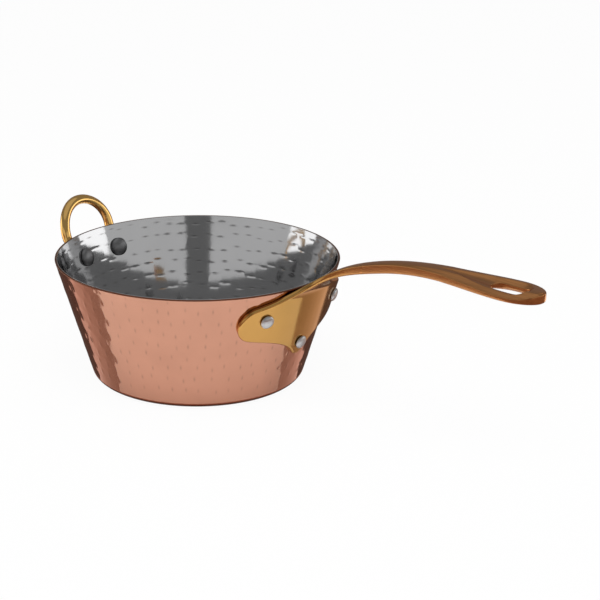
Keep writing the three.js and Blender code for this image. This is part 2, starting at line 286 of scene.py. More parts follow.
def ring_faces(rows, count):
    """Quads between closed rings of points."""
    faces = []
    for row in range(rows - 1):
        for i in range(count):
            a = row * count + i
            b = row * count + (i + 1) % count
            faces.append((a, b, b + count, a + count))
    return faces


def closed_faces(rows, count):
    """Quads between rings, and fans that close the first and last ring to the two points after them."""
    faces = ring_faces(rows, count)
    pole = rows * count
    last_row = pole - count
    for i in range(count):
        after = (i + 1) % count
        faces.append((pole, after, i))
        faces.append((pole + 1, last_row + i, last_row + after))
    return faces


def make_piece(name, points, faces, material, slot, node):
    """A smooth mesh piece from points in millimetres that stands for a CAD node on the one body."""
    mesh = bpy.data.meshes.new(name)
    mesh.from_pydata((np.asarray(points) * MM).tolist(), [], faces)
    mesh.validate()
    piece = bpy.data.objects.new(name, mesh)
    bpy.context.scene.collection.objects.link(piece)
    mesh.polygons.foreach_set("use_smooth", [True] * len(mesh.polygons))
    mesh.set_sharp_from_angle(angle=SHARP_ANGLE)
    mesh.materials.append(material)
    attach(piece, "root")
    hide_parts(node)
    return piece


# The wall: a place is an angle round the pot, a rise along the wall from the rim, an offset outward

def wall_radius(rise):
    return RIM_RADIUS + rise * math.sin(WALL_LEAN)


def wall_point(angle, rise, offset):
    radius = wall_radius(rise) + offset * math.cos(WALL_LEAN)
    height = POT_HEIGHT + rise * math.cos(WALL_LEAN) - offset * math.sin(WALL_LEAN)
    return np.stack(np.broadcast_arrays(radius * np.cos(angle), radius * np.sin(angle), height), axis=-1)


def spot(along, up, half_length, half_height):
    """A soft oval spot: 1 at its middle and about a third at its half sizes."""
    return np.exp(-(along / half_length) ** 2 - (up / half_height) ** 2)


def hammer(angle, rise, marks):
    """Hammer marks at a place on the wall: how far the wall is pushed out, and how dark its tick of painted
    shade is.
    """
    rng = np.random.default_rng(MARK_SEED)
    rows = int(WALL_LENGTH / MARK_ROW) + SPARE_ROWS
    shifts = rng.uniform(-1, 1, (rows, MARK_COLUMNS, 2)) * MARK_JITTER
    strengths = rng.uniform(WEAKEST_MARK, 1, (rows, MARK_COLUMNS))
    weights = rng.uniform(0, MARK_SPREAD, (rows, MARK_COLUMNS))
    starts = rng.uniform(0, 1, rows)
    beside_along, beside_up = np.array(marks["beside"]) * (MARK_PITCH, MARK_ROW)
    nearest = np.rint(-rise / MARK_ROW).astype(int)
    total = np.zeros(angle.shape)
    ridge = np.zeros(angle.shape)
    tick = np.zeros(angle.shape)
    for row_step in (-1, 0, 1):
        row = np.clip(nearest + row_step, 0, rows - 1)
        radius = wall_radius(-row * MARK_ROW)
        count = np.rint(FULL_TURN * radius / MARK_PITCH)
        place = angle / FULL_TURN * count - starts[row]
        for column_step in (-1, 0, 1):
            column = np.rint(place) + column_step
            mark = (row, np.mod(column, count).astype(int))
            along = (place - column) * (FULL_TURN * radius / count) + shifts[mark][..., 0]
            up = rise + row * MARK_ROW + shifts[mark][..., 1]
            total += np.exp(-(along ** 2 + up ** 2 + weights[mark]) / RIDGE_SOFTNESS)
            from_ridge = along - beside_along, up - beside_up
            ridge += strengths[mark] * spot(*from_ridge, *marks["ridge_size"])
            tick += strengths[mark] * spot(*from_ridge, *marks["tick_size"])
    distance = np.sqrt(np.maximum(-RIDGE_SOFTNESS * np.log(total + LEAST_TOTAL), 0))
    dent = -marks["depth"] * (1 - np.minimum(distance / DENT_REACH, 1) ** 2)
    below_rim = smooth(*RIM_FADE, rise)
    above_foot = smooth(FOOT_FADE[0] - WALL_LENGTH, FOOT_FADE[1] - WALL_LENGTH, rise)
    fade = below_rim * above_foot
    return (dent + marks["ridge"] * ridge) * fade, tick * fade


# Pot layers

def wall_line(depth, wall_rows, top_height):
    """The wall's section moved in by a depth, from the base's middle to near the rim: radius and height."""
    radius = CORNER_RADIUS - depth
    height = depth + radius
    line_radius = wall_radius((height - POT_HEIGHT) / math.cos(WALL_LEAN))
    centre = line_radius - height / math.cos(WALL_LEAN)
    corner = arc((centre, height), (radius, radius), -math.pi / 2, -WALL_LEAN, CORNER_STEPS)
    floor = np.linspace((0, depth), (centre, depth), FLOOR_STEPS)[1:-1]
    top_radius = wall_radius((top_height - POT_HEIGHT) / math.cos(WALL_LEAN)) - depth / math.cos(WALL_LEAN)
    wall = mix(corner[-1], np.array([top_radius, top_height]), np.linspace(0, 1, wall_rows)[1:, None])
    return np.concatenate([floor, corner, wall])


def pot_layer(outer_depth, inner_depth, outer_rows, inner_rows, around, marks):
    """Points, faces and painted-shade ticks of one layer of the pot, with a round rim."""
    half = (inner_depth - outer_depth) / math.cos(WALL_LEAN) / 2
    outside = wall_line(outer_depth, outer_rows, POT_HEIGHT - half)
    inside = wall_line(inner_depth, inner_rows, POT_HEIGHT - half)[::-1]
    rim = arc((outside[-1] + inside[0]) / 2, (half, half), 0, math.pi, RIM_STEPS)[1:-1]
    profile = np.concatenate([outside, rim, inside])
    turn = np.linspace(0, FULL_TURN, around, endpoint=False)
    rise = (profile[:, 1] - POT_HEIGHT) / math.cos(WALL_LEAN)
    dent, tick = hammer(*np.broadcast_arrays(turn[None, :], rise[:, None]), marks)
    radius = profile[:, 0][:, None] + dent * math.cos(WALL_LEAN)
    height = profile[:, 1][:, None] - dent * math.sin(WALL_LEAN)
    grid = np.stack([radius * np.cos(turn), radius * np.sin(turn), height], axis=-1).reshape(-1, 3)
    poles = [(0, 0, outer_depth), (0, 0, inner_depth)]
    faces = closed_faces(len(profile), around)
    return np.concatenate([grid, poles]), faces, np.concatenate([tick.ravel(), [0, 0]])


# Rivets

def rivet_frame(angle, rise):
    """Axes of a place on the wall's outside: along it, up it and straight out of it."""
    outward = wall_point(angle, rise, 1.0) - wall_point(angle, rise, 0.0)
    along = np.array([-math.sin(angle), math.cos(angle), 0])
    return wall_point(angle, rise, 0.0), along, np.cross(outward, along), outward


def dome(radius, height, seat, side):
    """A rivet's head from its brim to its top: a short upright brim, then a round cap."""
    brim = BRIM_SHARE * height
    turn = np.linspace(0, math.pi / 2, DOME_STEPS)
    cap = np.stack([radius * np.cos(turn), seat + side * (brim + (height - brim) * np.sin(turn))], axis=1)
    return np.concatenate([[(radius - BRIM_INSET, seat), (radius, seat + side * BRIM_LIFT)], cap[:-1]])


def rivet(angle, rise, seat):
    """A rivet through the wall, with a domed head inside and another outside on a seat."""
    inner_seat = -WALL_THICKNESS - HEAD_GAP
    outer_seat = SEAT_GAP + seat + HEAD_GAP
    inner = dome(*INNER_HEAD, inner_seat, -1)[::-1]
    outer = dome(*OUTER_HEAD, outer_seat, 1)
    shank = np.array([(SHANK_RADIUS, inner_seat), (SHANK_RADIUS, outer_seat)])
    profile = np.concatenate([inner, shank, outer])
    turn = np.linspace(0, FULL_TURN, RIVET_SIDES, endpoint=False)
    origin, along, upward, outward = rivet_frame(angle, rise)
    spokes = np.cos(turn)[:, None] * along + np.sin(turn)[:, None] * upward
    points = origin + profile[:, 0, None, None] * spokes + profile[:, 1, None, None] * outward
    tops = [origin + (inner_seat - INNER_HEAD[1]) * outward, origin + (outer_seat + OUTER_HEAD[1]) * outward]
    return np.concatenate([points.reshape(-1, 3), tops]), closed_faces(len(profile), RIVET_SIDES)


# Long handle: its inner face follows a line up the wall, over the rim and out to the tip

def handle_line():
    """The line's points in the upright plane through the handle, and its length up to each."""
    low, bend = (wall_point(0.0, -depth, SEAT_GAP)[[0, 2]] for depth in (PLATE_DEPTH, BEND_DEPTH))
    up_wall = np.array([math.sin(WALL_LEAN), math.cos(WALL_LEAN)])
    crest = np.array(CREST)
    tip = np.array(TIP)
    sag = np.array([(crest[0] + tip[0]) / 2, crest[1] - TAIL_SAG])
    flange = mix(low, bend, np.linspace(0, 1, LINE_STEPS["flange"])[:, None])
    pulls = (bend + BEND_PULL * up_wall, crest - (CREST_PULL, 0))
    stem = bezier((bend, *pulls, crest), LINE_STEPS["stem"])
    tail = bow(crest, sag, tip, LINE_STEPS["tail"])
    points = chain(flange, stem, tail)
    return points, lengths(points)


LINE, LINE_LENGTHS = handle_line()
LINE_TANGENTS = np.gradient(LINE, LINE_LENGTHS, axis=0)
HANDLE_LENGTH = LINE_LENGTHS[-1]
BEND_DISTANCE = PLATE_DEPTH - BEND_DEPTH
SLOT_END = HANDLE_LENGTH - SLOT_TIP_MARGIN
SLOT_START = SLOT_END - SLOT_LENGTH


def handle_outline():
    """Half the handle laid flat: distance along the line from the low tip, and half width."""
    steps = OUTLINE_STEPS
    lobe_centre = (PLATE_DEPTH - LOBE_DEPTH, LOBE_REACH)
    waist = np.array([PLATE_DEPTH + WAIST_REACH, WAIST_HALF_WIDTH])
    eye = np.array([HANDLE_LENGTH - EYE_LENGTH, EYE_HALF_WIDTH])
    low = arc((LOW_TIP_RADIUS, 0), (LOW_TIP_RADIUS,) * 2, LOW_START_TURN, LOW_SIDE_TURN, steps["low"])
    lobe = arc(lobe_centre, (LOBE_RADIUS,) * 2, math.pi - LOBE_TURN, LOBE_TURN, steps["lobe"])
    end = arc((eye[0], 0), (EYE_LENGTH, EYE_HALF_WIDTH), math.pi / 2, EYE_END_TURN, steps["end"])
    low_way = np.array([math.sin(LOW_SIDE_TURN), -math.cos(LOW_SIDE_TURN)])
    in_way = np.array([math.sin(LOBE_TURN), math.cos(LOBE_TURN)])
    out_way = np.array([math.sin(LOBE_TURN), -math.cos(LOBE_TURN)])
    notch_pulls = (low[-1] + NOTCH_PULL * low_way, lobe[0] - LOBE_PULL * in_way)
    notch = bezier((low[-1], *notch_pulls, lobe[0]), steps["notch"])
    shoulder_pulls = (lobe[-1] + SHOULDER_PULL * out_way, waist - (WAIST_PULL, 0))
    shoulder = bezier((lobe[-1], *shoulder_pulls, waist), steps["shoulder"])
    grip = bezier((waist, waist + (GRIP_PULL, 0), eye - (EYE_LENGTH, 0), eye), steps["grip"])
    return chain(low, notch, lobe, shoulder, grip, end)


def past_slot(distance):
    """How far a place is beyond the centre of the nearer of the slot's round ends."""
    ahead = np.maximum(SLOT_START + SLOT_HALF_WIDTH - distance, distance - SLOT_END + SLOT_HALF_WIDTH)
    return np.maximum(ahead, 0)


def slot_gap(distance, across):
    """How far a place is outside the slot's round-ended outline."""
    return np.hypot(past_slot(distance), across) - SLOT_HALF_WIDTH


def slot_half_width(distance):
    return np.sqrt(np.maximum(SLOT_HALF_WIDTH ** 2 - past_slot(distance) ** 2, 0))


def slot_edge(distance, across):
    """Extra depth of a face near the slot, which rounds the slot's edge."""
    inside = np.clip(SLOT_ROUND - slot_gap(distance, across), 0, SLOT_ROUND)
    return SLOT_ROUND - np.sqrt(SLOT_ROUND ** 2 - inside ** 2)


def hollow(distance, across):
    """Depth of the long hollow that leads into the slot on top."""
    start = SLOT_END + HOLLOW_MARGIN - HOLLOW_LENGTH - HOLLOW_HALF_WIDTH
    along = distance - start
    swell = smooth(0, HOLLOW_LENGTH, along) ** HOLLOW_SWELL_POWER
    nose = np.sqrt(np.clip(1 - (np.maximum(along - HOLLOW_LENGTH, 0) / HOLLOW_HALF_WIDTH) ** 2, 0, 1))
    half_width = np.maximum(HOLLOW_HALF_WIDTH * swell * nose, HOLLOW_LEAST_WIDTH)
    dish = np.clip(1 - (across / half_width) ** 2, 0, 1) ** HOLLOW_DISH_POWER
    return HOLLOW_DEPTH * swell * nose * dish


def relief(distance, across):
    """Depth of the shallow oval dish round the slot in the underside."""
    along = (distance - SLOT_END + SLOT_LENGTH / 2) / (SLOT_LENGTH / 2 + RELIEF_MARGIN)
    dish = np.clip(1 - along ** 2 - (across / RELIEF_HALF_WIDTH) ** 2, 0, 1)
    return RELIEF_DEPTH * dish ** RELIEF_POWER


def handle_place(distance, across, depth):
    """A place in the handle: along its line, across its face and in from its inner face."""
    foot_x, foot_z = (np.interp(distance, LINE_LENGTHS, LINE[:, axis]) for axis in (0, 1))
    way_x, way_z = (np.interp(distance, LINE_LENGTHS, LINE_TANGENTS[:, axis]) for axis in (0, 1))
    x = foot_x + depth * way_z
    z = foot_z - depth * way_x
    flatness = smooth(BEND_DISTANCE, BEND_DISTANCE + FLATTEN_LENGTH, distance)
    bend = np.maximum((1 - flatness) / foot_x, TINY)
    reach = 1 / bend + depth * way_z
    turn = across * bend
    return np.stack([x - reach * 2 * np.sin(turn / 2) ** 2, reach * np.sin(turn), z], axis=-1)


def handle_rows():
    """Rows along the outline, close together round the slot's ends: places and outward directions."""
    outline = handle_outline()
    run = lengths(outline)
    ways = np.gradient(outline, run, axis=0)
    ways /= np.linalg.norm(ways, axis=1)[:, None]
    near = SLOT_EDGE_PLACES
    bulge = SLOT_HALF_WIDTH * (1 - np.cos(np.linspace(0, math.pi / 2, SLOT_END_ROWS)))
    marks = np.concatenate([SLOT_START - near, SLOT_START + bulge, SLOT_END + near, SLOT_END - bulge])
    even = np.arange(0, run[-1], ROW_STEP)
    wanted = np.concatenate([even, np.interp(marks, outline[:, 0], run), [run[-1]]])
    wanted = np.unique(np.round(wanted, ROW_DIGITS))
    kept = wanted[np.concatenate([[True], np.diff(wanted) > LEAST_ROW_STEP])]
    way = sample(kept, run, ways)
    return sample(kept, run, outline), np.stack([-way[:, 1], way[:, 0]], axis=1)


def handle_half(slope):
    """One side of the handle: rows from the slot over the top and its bevel, round the edge, back below."""
    point, normal = handle_rows()
    distance, half_width = point[:, :1], point[:, 1:]
    out_along, out_across = normal[:, :1], normal[:, 1:]
    stem = smooth(BEND_DISTANCE, BEND_DISTANCE + THICKEN_LENGTH, distance)
    thickness = mix(PLATE_THICKNESS, GRIP_THICKNESS, stem)
    crown = CROWN_HEIGHT * stem
    inner_round, outer_round = (mix(*ends, stem) for ends in zip(PLATE_ROUNDS, GRIP_ROUNDS))
    near = SLOT_EDGE_PLACES
    share = np.linspace(0, 1, FACE_STEPS)[1:]

    def face(inset, depth):
        along = distance - inset * out_along
        side = half_width - inset * out_across
        start = slot_half_width(along)
        close = np.minimum(near, (side - start) * near / SLOT_ROUND * SLOT_EDGE_SHARE)
        first = start + close
        across = np.concatenate([first, mix(first[:, -1:], side, share)], axis=1)
        along = np.broadcast_to(along, across.shape)
        return along, across, depth(along, across, across / np.maximum(side, TINY))

    def bevel(across):
        return slope * stem * np.maximum(across - BEVEL_START, 0)

    def edge(radius, turn, depth, way):
        """A column on a rounded edge, which turns from a face at a depth to the handle's side."""
        inset = radius * (1 - np.sin(turn))
        drop = radius * (1 - np.cos(turn))
        return distance - inset * out_along, half_width - inset * out_across, depth + way * drop

    top = face(inner_round, lambda a, y, u: crown * u ** 2 + bevel(y) + hollow(a, y) + slot_edge(a, y))
    below = face(outer_round, lambda a, y, u: thickness - relief(a, y) - slot_edge(a, y))
    top_depth = crown + bevel(half_width - inner_round * out_across)
    turns = np.linspace(0, math.pi / 2, EDGE_STEPS)[1:]
    inner_edge = [edge(inner_round, turn, top_depth, 1) for turn in turns]
    outer_edge = [edge(outer_round, turn, thickness, -1) for turn in turns[::-1]]
    backward = tuple(part[:, ::-1] for part in below)
    columns = [top, *inner_edge, *outer_edge, backward]
    along, across, depth = (np.concatenate([column[i] for column in columns], axis=1) for i in range(3))
    return along, across, depth


def long_handle():
    """Points and faces of the handle: two halves that meet on the middle plane, with the slot left open."""
    halves = []
    for side, slope in zip((1, -1), BEVEL_SLOPES):
        along, across, depth = handle_half(slope)
        halves.append(handle_place(along, side * across, depth).reshape(-1, 3))
    rows, count = along.shape
    faces = []
    open_rows = slot_half_width(along[:, 0]) > TINY
    for half, flip in ((0, False), (1, True)):
        base = half * rows * count
        for row in range(rows - 1):
            through = open_rows[row] or open_rows[row + 1]
            for i in range(count if through else count - 1):
                a = base + row * count + i
                b = base + row * count + (i + 1) % count
                quad = (a, a + count, b + count, b)
                faces.append(quad[::-1] if flip else quad)
        for row, turned in ((0, flip), (rows - 1, not flip)):
            cap = tuple(base + row * count + i for i in range(count))
            faces.append(cap if turned else cap[::-1])
    return np.concatenate(halves), faces


# Finger loop: a rod that stands up beside the rim, with flat round pads at its ends that follow the wall

def loop_place(along, rise, offset):
    """A place in the loop: along the wall from its middle, up from the rim and out from the wall."""
    out = offset + ARCH_LEAN * np.maximum(rise, 0) ** 2 / LOOP_RADIUS
    radius = wall_radius(rise) + out * math.cos(WALL_LEAN)
    height = POT_HEIGHT + rise * math.cos(WALL_LEAN) - out * math.sin(WALL_LEAN)
    bend = np.maximum((1 - smooth(PAD_RADIUS - PAD_DEPTH, 0, rise)) / wall_radius(rise), TINY)
    reach = 1 / bend + out * math.cos(WALL_LEAN)
    turn = along * bend
    return np.stack([reach * 2 * np.sin(turn / 2) ** 2 - radius, -reach * np.sin(turn), height], axis=-1)


def loop_line():
    """The loop's middle line on the wall: along it from the loop's middle, and up from the rim."""
    end = np.array([PAD_SPREAD, -PAD_DEPTH - PAD_RADIUS])
    pad = np.array([PAD_SPREAD, -PAD_DEPTH])
    foot = mix(end, pad, np.linspace(0, 1, LOOP_STEPS["foot"])[:, None])
    pulls = ((PAD_SPREAD, -LEG_PULLS[0] * PAD_DEPTH), (LOOP_RADIUS, -LEG_PULLS[1] * PAD_DEPTH))
    leg = bezier((pad, *pulls, (LOOP_RADIUS, ARCH_RISE)), LOOP_STEPS["leg"])
    side = chain(foot, leg)
    arch = arc((0, ARCH_RISE), (LOOP_RADIUS,) * 2, 0, math.pi, LOOP_STEPS["arch"])
    return chain(side, arch, (side * (-1, 1))[::-1])


def signed_power(value, power):
    return np.sign(value) * np.abs(value) ** power


def loop_handle():
    """Points and faces of the loop: rings along its line, from a flat pad through the rod to the other."""
    line = loop_line()
    run = lengths(line)
    ends = PAD_RADIUS * (1 - np.cos(np.linspace(PAD_END_TURN, math.pi / 2, PAD_END_ROWS)))
    side = np.concatenate([ends, np.linspace(PAD_RADIUS, run[-1] / 2, ROD_ROWS)[1:]])
    distance = np.concatenate([side, run[-1] - side[::-1][1:]])
    from_end = np.minimum(distance, run[-1] - distance)
    middle = sample(distance, run, line)
    way = sample(distance, run, np.gradient(line, run, axis=0))
    way /= np.linalg.norm(way, axis=1)[:, None]
    pad = np.sqrt(np.maximum(PAD_RADIUS ** 2 - (from_end - PAD_RADIUS) ** 2, 0))
    neck = ROD_RADIUS * smooth(PAD_RADIUS, PAD_RADIUS + NECK_LENGTH, from_end)
    joined = (pad ** NECK_POWER + neck ** NECK_POWER) ** (1 / NECK_POWER)
    half_width = np.where(from_end < 2 * PAD_RADIUS, joined, ROD_RADIUS)
    thicken_start = PAD_RADIUS + OUTER_HEAD[0] + HEAD_GAP
    rod = smooth(thicken_start, thicken_start + ROUND_LENGTH, from_end)
    half_depth = mix(PAD_THICKNESS / 2, ROD_RADIUS, rod)
    power = mix(PAD_SQUARENESS, 1.0, rod)[:, None]
    turn = (np.arange(LOOP_SIDES) + 0.5) / LOOP_SIDES * FULL_TURN
    across = half_width[:, None] * signed_power(np.cos(turn), power)
    out = half_depth[:, None] * signed_power(np.sin(turn), power)
    stand_off = mix(SEAT_GAP + PAD_THICKNESS / 2, ROD_STAND_OFF, rod)[:, None]
    along = middle[:, :1] + across * way[:, 1:]
    rise = middle[:, 1:] - across * way[:, :1]
    points = loop_place(along, rise, stand_off + out).reshape(-1, 3)
    faces = [quad[::-1] for quad in ring_faces(len(distance), LOOP_SIDES)]
    last_row = (len(distance) - 1) * LOOP_SIDES
    faces.append(tuple(range(LOOP_SIDES)))
    faces.append(tuple(last_row + i for i in reversed(range(LOOP_SIDES))))
    return points, faces


# Materials

def new_material(name):
    material = bpy.data.materials.new(name)
    material.use_nodes = True
    return material, material.node_tree.nodes, material.node_tree.links


def shades(colour, shares):
    """A colour made darker or lighter by some shares."""
    return [[min(channel * share, 1.0) for channel in colour] for share in shares]


def add_noise(material, place, scale, detail):
    noise = material.node_tree.nodes.new("ShaderNodeTexNoise")
    noise.inputs["Scale"].default_value = scale
    noise.inputs["Detail"].default_value = detail
    material.node_tree.links.new(place, noise.inputs["Vector"])
    return noise.outputs["Fac"]


def add_ramp(material, value, ends, colours):
    """A ramp between two colours over a stretch of a value."""
    ramp = material.node_tree.nodes.new("ShaderNodeValToRGB")
    for element, end, colour in zip(ramp.color_ramp.elements, ends, colours):
        element.position = end
        element.color = (*colour, 1.0)
    material.node_tree.links.new(value, ramp.inputs["Fac"])
    return ramp.outputs["Color"]


def blend_in(material, name, kind, share):
    """Blend what feeds one of the shader's inputs with something else by a share, and return its place."""
    nodes, links = material.node_tree.nodes, material.node_tree.links
    fed = nodes["Principled BSDF"].inputs[name]
    blend = nodes.new("ShaderNodeMix")
    blend.data_type = kind
    first, second = (end for end in blend.inputs if end.enabled and end.name in ("A", "B"))
    links.new(share, blend.inputs["Factor"])
    links.new(fed.links[0].from_socket, first)
    links.new(next(end for end in blend.outputs if end.enabled), fed)
    return second


def metal(name, colour, roughness, spread, grain, tick=None):
    """A metal with faint drifts of colour, uneven gloss, fine scratches and, if asked for, dark ticks of
    painted shade.
    """
    material, nodes, links = new_material(name)
    shader = nodes["Principled BSDF"]
    shader.inputs["Metallic"].default_value = 1.0
    place = nodes.new("ShaderNodeTexCoord").outputs["Object"]

    drift = add_noise(material, place, *DRIFT_NOISE)
    tint = add_ramp(material, drift, DRIFT_RAMP, shades(colour, (1 - spread, 1 + spread)))
    links.new(tint, shader.inputs["Base Color"])
    if tick:
        paint_tick_shade(material, tick)

    gloss = add_noise(material, place, *GLOSS_NOISE)
    rough = nodes.new("ShaderNodeMapRange")
    rough.inputs["To Min"].default_value = roughness * GLOSS_SHARES[0]
    rough.inputs["To Max"].default_value = roughness * GLOSS_SHARES[1]
    links.new(gloss, rough.inputs["Value"])
    links.new(rough.outputs["Result"], shader.inputs["Roughness"])

    scratch = add_noise(material, place, *SCRATCH_NOISE)
    bump = nodes.new("ShaderNodeBump")
    bump.inputs["Strength"].default_value = grain
    bump.inputs["Distance"].default_value = SCRATCH_DEPTH
    links.new(scratch, bump.inputs["Height"])
    links.new(bump.outputs["Normal"], shader.inputs["Normal"])
    return material


def paint_tick_shade(material, tick):
    """Darken a metal's colour in the ticks that its mesh carries: painted shade for the dark reflections of
    ridges.
    """
    nodes, links = material.node_tree.nodes, material.node_tree.links
    mark = nodes.new("ShaderNodeAttribute")
    mark.attribute_name = "tick"
    share = nodes.new("ShaderNodeMapRange")
    share.inputs["To Max"].default_value = tick
    links.new(mark.outputs["Fac"], share.inputs["Value"])
    dark = blend_in(material, "Base Color", "RGBA", share.outputs["Result"])
    dark.default_value = (*SHADE_TICK_COLOUR, 1.0)


def dull_stem(material, colour, roughness):
    """Make a brass browner and duller along the stem, where it isn't polished as the plate is."""
    nodes, links = material.node_tree.nodes, material.node_tree.links
    place = nodes.new("ShaderNodeTexCoord").outputs["Object"]
    axes = nodes.new("ShaderNodeSeparateXYZ")
    stem = nodes.new("ShaderNodeMapRange")
    stem.inputs["From Min"].default_value = DULL_START * MM
    stem.inputs["From Max"].default_value = DULL_END * MM
    links.new(place, axes.inputs["Vector"])
    links.new(axes.outputs["X"], stem.inputs["Value"])
    stretch = nodes.new("ShaderNodeMapping")
    stretch.inputs["Scale"].default_value = STREAK_STRETCH
    links.new(place, stretch.inputs["Vector"])
    streak = add_noise(material, stretch.outputs["Vector"], *STREAK_NOISE)
    brown = add_ramp(material, streak, STREAK_RAMP, shades(colour, STREAK_SHARES))
    links.new(brown, blend_in(material, "Base Color", "RGBA", stem.outputs["Result"]))
    blend_in(material, "Roughness", "FLOAT", stem.outputs["Result"]).default_value = roughness


# The ticks on the copper and on the lining are painted shade.
COPPER = metal("polished_copper", (0.69, 0.35, 0.24), roughness=0.1, spread=0.05, grain=0.05, tick=0.32)
# A rougher copper for the rim, whose dark colour is painted shade for the rim's dark reflections.
SHADED_RIM_COPPER = metal("painted_shade_rim_copper", (0.25, 0.105, 0.065), roughness=0.35, spread=0.1, grain=0.1)
STEEL = metal("polished_steel", (0.62, 0.62, 0.625), roughness=0.09, spread=0.03, grain=0.04, tick=0.7)
BRASS = metal("polished_brass", (0.68, 0.38, 0.115), roughness=0.13, spread=0.05, grain=0.05)
LOOP_BRASS = metal("loop_brass", (0.95, 0.58, 0.19), roughness=0.13, spread=0.05, grain=0.05)
RIVET_STEEL = metal("rivet_steel", (0.62, 0.635, 0.65), roughness=0.36, spread=0.08, grain=0.12)
# A darker steel for the rivets' heads inside the pot.
DARK_INNER_STEEL = metal("dark_inner_rivet_steel", (0.27, 0.27, 0.275), roughness=0.38, spread=0.12, grain=0.15)
dull_stem(BRASS, (0.6, 0.27, 0.1), roughness=0.28)


# Pieces

def add_layer(name, layer, material, slot, node):
    """A layer of the pot as a piece whose mesh carries its ticks of painted shade."""
    points, faces, tick = layer
    piece = make_piece(name, points, faces, material, slot, node)
    piece.data.attributes.new("tick", "FLOAT", "POINT").data.foreach_set("value", tick)
    return piece


def give_material(piece, material, chosen):
    """Give some of a piece's faces, chosen by their centres in millimetres, another material."""
    centres = np.empty(3 * len(piece.data.polygons))
    piece.data.polygons.foreach_get("center", centres)
    piece.data.materials.append(material)
    piece.data.polygons.foreach_set("material_index", chosen(centres.reshape(-1, 3) / MM).astype(np.int32))


def build_pot():
    body = pot_layer(0, COPPER_THICKNESS, *BODY_ROWS, BODY_AROUND, OUTER_MARKS)
    copper_body = add_layer("hammered_body", body, COPPER, "copper", "copper_body")
    # The rim's edge gets the copper darkened as painted shade.
    give_material(copper_body, SHADED_RIM_COPPER, lambda centres: centres[:, 2] > POT_HEIGHT - RIM_LINE)
    bond = COPPER_THICKNESS + BOND_GAP
    lining = pot_layer(bond, WALL_THICKNESS, *LINING_ROWS, LINING_AROUND, INNER_MARKS)
    add_layer("hammered_lining", lining, STEEL, "lining", "steel_lining")


def build_handles():
    make_piece("cast_handle", *long_handle(), BRASS, "brass", "long_handle")
    make_piece("bent_loop", *loop_handle(), LOOP_BRASS, "brass", "loop_handle")


def build_rivets():
    """Rivets at their angle, rise and seat's thickness, with darker heads inside the pot than outside."""
    side = SIDE_RIVET_SPREAD / wall_radius(-SIDE_RIVET_DEPTH)
    pad = PAD_SPREAD / wall_radius(-PAD_DEPTH)
    places = {
        "handle_rivet_right": (-side, -SIDE_RIVET_DEPTH, PLATE_THICKNESS),
        "handle_rivet_left": (side, -SIDE_RIVET_DEPTH, PLATE_THICKNESS),
        "handle_rivet_low": (0.0, -LOW_RIVET_DEPTH, PLATE_THICKNESS),
        "loop_rivet_right": (math.pi + pad, -PAD_DEPTH, PAD_THICKNESS),
        "loop_rivet_left": (math.pi - pad, -PAD_DEPTH, PAD_THICKNESS),
    }
    for node, place in places.items():
        piece = make_piece("domed_" + node, *rivet(*place), RIVET_STEEL, "rivets", node)
        origin, _, _, outward = rivet_frame(*place[:2])
        give_material(piece, DARK_INNER_STEEL, lambda centres: (centres - origin) @ outward < -WALL_THICKNESS)


# Studio

def stage_mesh(name, points, faces, material, shown):
    mesh = bpy.data.meshes.new(name)
    mesh.from_pydata(points, [], faces)
    mesh.materials.append(material)
    piece = bpy.data.objects.new(name, mesh)
    bpy.context.scene.collection.objects.link(piece)
    piece.visible_camera = shown
    return piece


def floor_material():
    """A pale floor that is white to the camera apart from the object's soft shadow."""
    material, nodes, links = new_material("pale_floor")
    shader = nodes["Principled BSDF"]
    shader.inputs["Base Color"].default_value = FLOOR_COLOUR
    shader.inputs["Roughness"].default_value = FLOOR_ROUGHNESS
    shader.inputs["Specular IOR Level"].default_value = FLOOR_SPECULAR
    white = nodes.new("ShaderNodeEmission")
    rays = nodes.new("ShaderNodeLightPath")
    share = nodes.new("ShaderNodeMath")
    share.operation = "MULTIPLY"
    share.inputs[1].default_value = FLOOR_WHITENESS
    blend = nodes.new("ShaderNodeMixShader")
    links.new(rays.outputs["Is Camera Ray"], share.inputs[0])
    links.new(share.outputs["Value"], blend.inputs["Fac"])
    links.new(shader.outputs["BSDF"], blend.inputs[1])
    links.new(white.outputs["Emission"], blend.inputs[2])
    links.new(blend.outputs["Shader"], nodes["Material Output"].inputs["Surface"])
    return material


def build_floor():
    reach = FLOOR_REACH
    corners = [(-reach, -reach, 0), (reach, -reach, 0), (reach, reach, 0), (-reach, reach, 0)]
    stage_mesh("floor", corners, [(0, 1, 2, 3)], floor_material(), shown=True)


def build_world():
    """Soft light all round, which is plain white to the camera, in reflections and through glass."""
    world = bpy.data.worlds.new("studio")
    bpy.context.scene.world = world
    world.use_nodes = True
    nodes, links = world.node_tree.nodes, world.node_tree.links
    soft = nodes["Background"]
    soft.inputs["Color"].default_value = WHITE
    soft.inputs["Strength"].default_value = SOFT_STRENGTH
    white = nodes.new("ShaderNodeBackground")
    white.inputs["Color"].default_value = WHITE
    white.inputs["Strength"].default_value = 1.0
    rays = nodes.new("ShaderNodeLightPath")
    seen = rays.outputs["Is Camera Ray"]
    for kind in ("Is Glossy Ray", "Is Transmission Ray"):
        either = nodes.new("ShaderNodeMath")
        either.operation = "MAXIMUM"
        links.new(seen, either.inputs[0])
        links.new(rays.outputs[kind], either.inputs[1])
        seen = either.outputs["Value"]
    blend = nodes.new("ShaderNodeMixShader")
    links.new(seen, blend.inputs["Fac"])
    links.new(soft.outputs["Background"], blend.inputs[1])
    links.new(white.outputs["Background"], blend.inputs[2])
    links.new(blend.outputs["Shader"], nodes["World Output"].inputs["Surface"])


